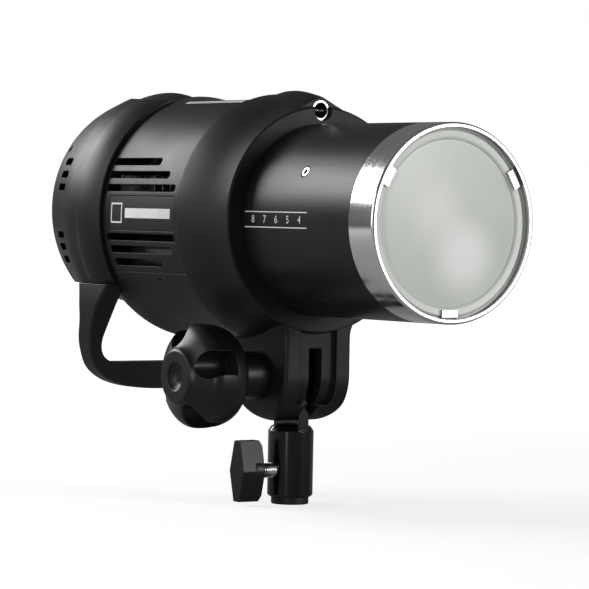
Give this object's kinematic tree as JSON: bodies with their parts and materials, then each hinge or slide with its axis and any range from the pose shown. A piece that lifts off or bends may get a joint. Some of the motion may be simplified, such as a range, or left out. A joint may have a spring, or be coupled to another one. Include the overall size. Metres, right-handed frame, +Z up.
{
  "type": "monolight strobe",
  "caption": "Self-contained studio flash head on a tilting stand adapter: ringed front tube with frosted glass, finned casing, rear bumper with carry handle and control panel.",
  "frame": {"origin": "centre of the stand socket's mouth, where the adapter sits on a light stand", "axes": "+Z up along the stand; the light faces -Y when level; +X is the side away from the tilt knob"},
  "size_m": [0.1444, 0.299, 0.2183],
  "materials": {
    "casing_plastic": "satin black moulding",
    "cast_metal": "black satin paint",
    "tube_metal": "black satin anodised",
    "gloss_black": "gloss",
    "adapter_metal": "gloss black",
    "bright_ring": "polished",
    "bright_steel": "polished",
    "steel": "brushed",
    "brass": "machined",
    "frosted_glass": "frosted",
    "clear_glass": "clear",
    "display_glass": "smoked",
    "reflector_metal": "satin",
    "ceramic": "ceramic",
    "friction_fibre": "pressed fibre",
    "label": "printed foil",
    "button_rubber": "matte",
    "circuit": "lacquered board",
    "can_sleeve": "shrink sleeve",
    "copper": "enamelled winding",
    "plain_black": "matte",
    "sensor_red": "translucent red"
  },
  "bodies": {
    "stand_adapter": {"adapter_body": "adapter_metal", "adapter_bush": "plain_black", "friction_discs": "friction_fibre"},
    "head": {"front_tube": "tube_metal", "tube_screws": "bright_steel", "front_ring": "bright_ring", "glass_plate": "frosted_glass", "glass_clips": "steel", "reflector": "reflector_metal", "lamp_plate": "ceramic", "flash_tube": "clear_glass", "flash_sockets": "ceramic", "modelling_lamp": "clear_glass", "lamp_socket": "ceramic", "front_collar": "cast_metal", "tilt_yoke": "cast_metal", "umbrella_tube": "bright_steel", "tilt_spacer": "gloss_black", "tilt_stud": "steel", "upper_casing": "casing_plastic", "lower_casing": "casing_plastic", "casing_screws": "bright_steel", "side_plates": "plain_black", "shoulder_strips": "label", "rear_bumper": "casing_plastic", "carry_handle": "casing_plastic", "bumper_screws": "bright_steel", "rear_panel": "plain_black", "panel_screws": "steel", "display_window": "display_glass", "display_module": "circuit", "mains_inlet": "plain_black", "inlet_pins": "brass", "switch_bezel": "plain_black", "sync_jack": "steel", "usb_port": "steel", "light_sensor": "sensor_red", "chassis": "steel", "capacitor_bank": "can_sleeve", "power_board": "circuit", "transformer": "copper", "inductor": "copper", "heat_sink": "reflector_metal", "fan_housing": "plain_black", "control_board": "circuit"},
    "lock_carriage": {"lock_pad": "brass"},
    "lock_screw": {"lock_thread": "bright_steel", "lock_wing": "gloss_black"},
    "tilt_carriage": {"tilt_washer": "steel"},
    "tilt_knob": {"tilt_knob": "gloss_black", "knob_insert": "brass"},
    "fan": {"fan_rotor": "plain_black"},
    "dial_push": {"dial_shaft": "steel"},
    "dial": {"dial": "gloss_black"},
    "test_button": {"test_button": "button_rubber"},
    "lamp_button": {"lamp_button": "button_rubber"},
    "ready_button": {"ready_button": "button_rubber"},
    "slave_button": {"slave_button": "button_rubber"},
    "power_rocker": {"power_rocker": "gloss_black"},
    "fuse_drawer": {"fuse_drawer": "plain_black"}
  },
  "joints": [
    {"name": "head_tilt", "type": "hinge", "parent": "stand_adapter", "child": "head", "pos_m": [0, 0, 0.068], "axis": [1, 0, 0], "range_deg": [-60, 90]},
    {"name": "tilt_clamp_travel", "type": "slide", "parent": "head", "child": "tilt_carriage", "axis": [1, 0, 0], "range_m": [-0.0015, 0]},
    {"name": "tilt_knob_turn", "type": "hinge", "parent": "tilt_carriage", "child": "tilt_knob", "pos_m": [-0.05, 0, 0.068], "axis": [1, 0, 0], "range_deg": [-360, 0]},
    {"name": "lock_travel", "type": "slide", "parent": "stand_adapter", "child": "lock_carriage", "axis": [1, 0, 0], "range_m": [0, 0.0025]},
    {"name": "lock_turn", "type": "hinge", "parent": "lock_carriage", "child": "lock_screw", "pos_m": [-0.025, 0, 0.018], "axis": [1, 0, 0], "range_deg": [0, 720]},
    {"name": "fan_spin", "type": "hinge", "parent": "head", "child": "fan", "pos_m": [0, 0.121, 0.1596], "axis": [0, 1, 0], "continuous": true},
    {"name": "dial_press", "type": "slide", "parent": "head", "child": "dial_push", "axis": [0, -1, 0], "range_m": [0, 0.0008], "stiffness_N_per_m": 600, "springref_m": -0.002},
    {"name": "dial_turn", "type": "hinge", "parent": "dial_push", "child": "dial", "pos_m": [0, 0.155, 0.1546], "axis": [0, 1, 0], "continuous": true},
    {"name": "test_press", "type": "slide", "parent": "head", "child": "test_button", "axis": [0, -1, 0], "range_m": [0, 0.0008], "stiffness_N_per_m": 400, "springref_m": -0.002},
    {"name": "lamp_press", "type": "slide", "parent": "head", "child": "lamp_button", "axis": [0, -1, 0], "range_m": [0, 0.0008], "stiffness_N_per_m": 400, "springref_m": -0.002},
    {"name": "ready_press", "type": "slide", "parent": "head", "child": "ready_button", "axis": [0, -1, 0], "range_m": [0, 0.0008], "stiffness_N_per_m": 400, "springref_m": -0.002},
    {"name": "slave_press", "type": "slide", "parent": "head", "child": "slave_button", "axis": [0, -1, 0], "range_m": [0, 0.0008], "stiffness_N_per_m": 400, "springref_m": -0.002},
    {"name": "power_rock", "type": "hinge", "parent": "head", "child": "power_rocker", "pos_m": [0.0225, 0.146, 0.1236], "axis": [1, 0, 0], "range_deg": [0, 14]},
    {"name": "fuse_drawer_slide", "type": "slide", "parent": "head", "child": "fuse_drawer", "axis": [0, 1, 0], "range_m": [0, 0.011]}
  ],
  "couplings": [
    {"joint": "tilt_clamp_travel", "follows": "tilt_knob_turn", "m_per_rad": 0.00023873},
    {"joint": "lock_travel", "follows": "lock_turn", "m_per_rad": 0.00019894}
  ]
}
